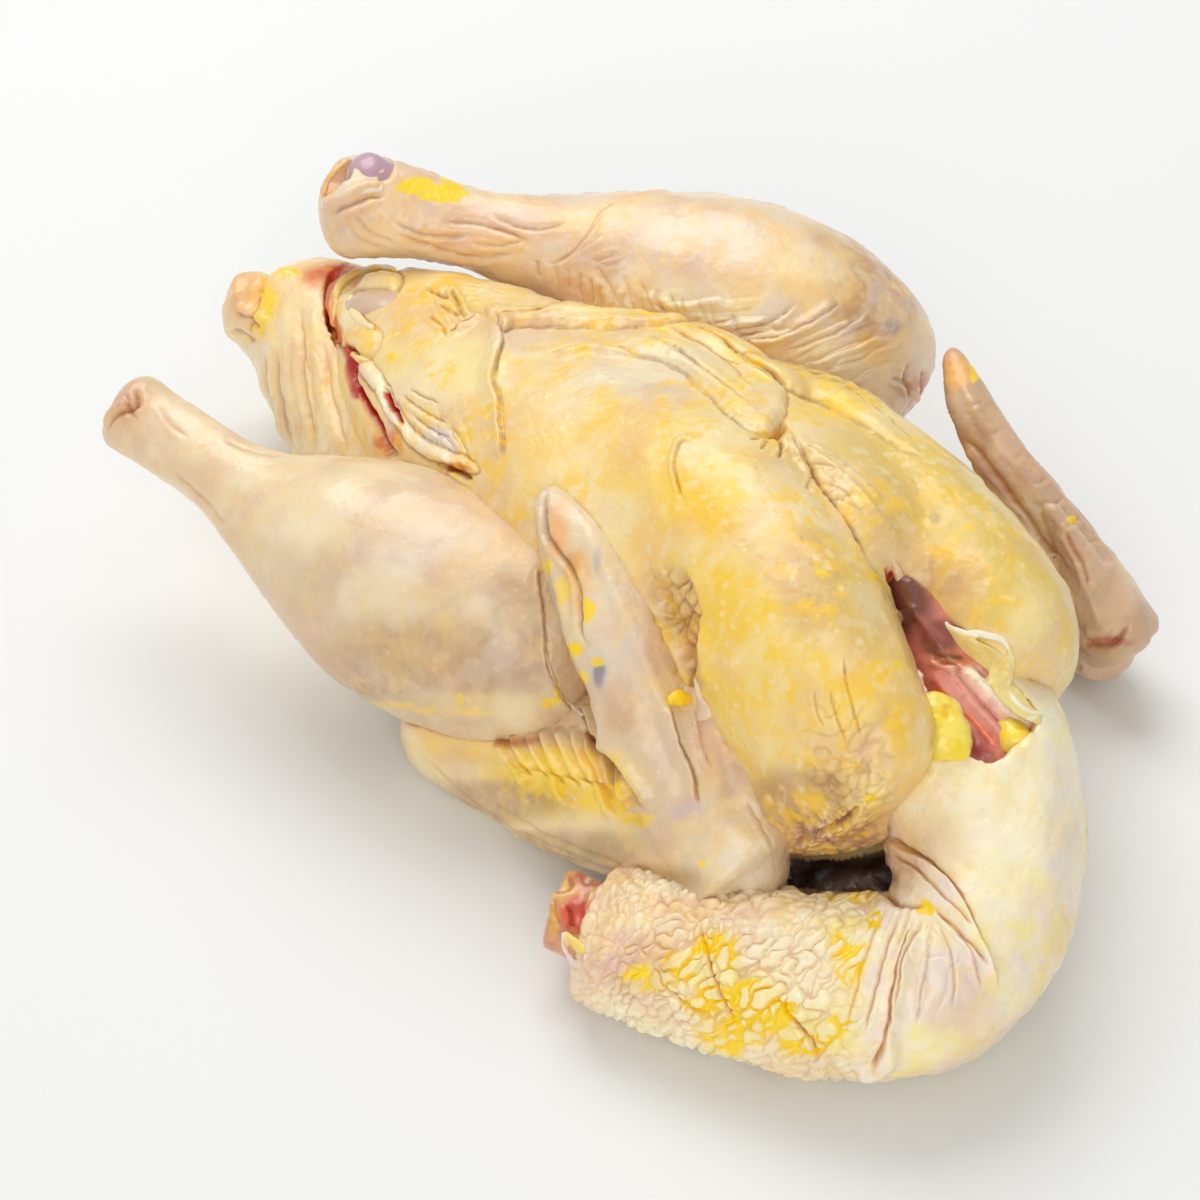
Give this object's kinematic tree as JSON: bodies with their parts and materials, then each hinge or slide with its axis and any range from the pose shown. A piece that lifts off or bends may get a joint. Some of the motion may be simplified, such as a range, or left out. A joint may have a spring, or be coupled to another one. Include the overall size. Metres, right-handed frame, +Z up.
{
  "type": "whole raw chicken",
  "caption": "Whole raw chicken on its back, plucked and dressed, with folded wings, cut hocks and its neck doubled back beside the breast.",
  "frame": {"origin": "centre of the bounding box, on the surface the bird lies on", "axes": "+Z up, out of the breast; +Y towards the tail; +X towards the bird's right leg and wing"},
  "size_m": [0.1776, 0.2642, 0.0861],
  "materials": {
    "skin": "wet gloss",
    "flesh": "wet gloss",
    "breast_flesh": "wet gloss",
    "fat": "wet gloss",
    "cartilage": "wet gloss"
  },
  "bodies": {
    "root": {"chicken": "skin", "neck_meat": "flesh", "crop_meat": "breast_flesh", "fat_lump_large": "fat", "fat_lump_small": "fat", "left_hock_cartilage": "cartilage", "right_hock_cartilage": "cartilage", "keel_cartilage": "cartilage"}
  },
  "joints": []
}
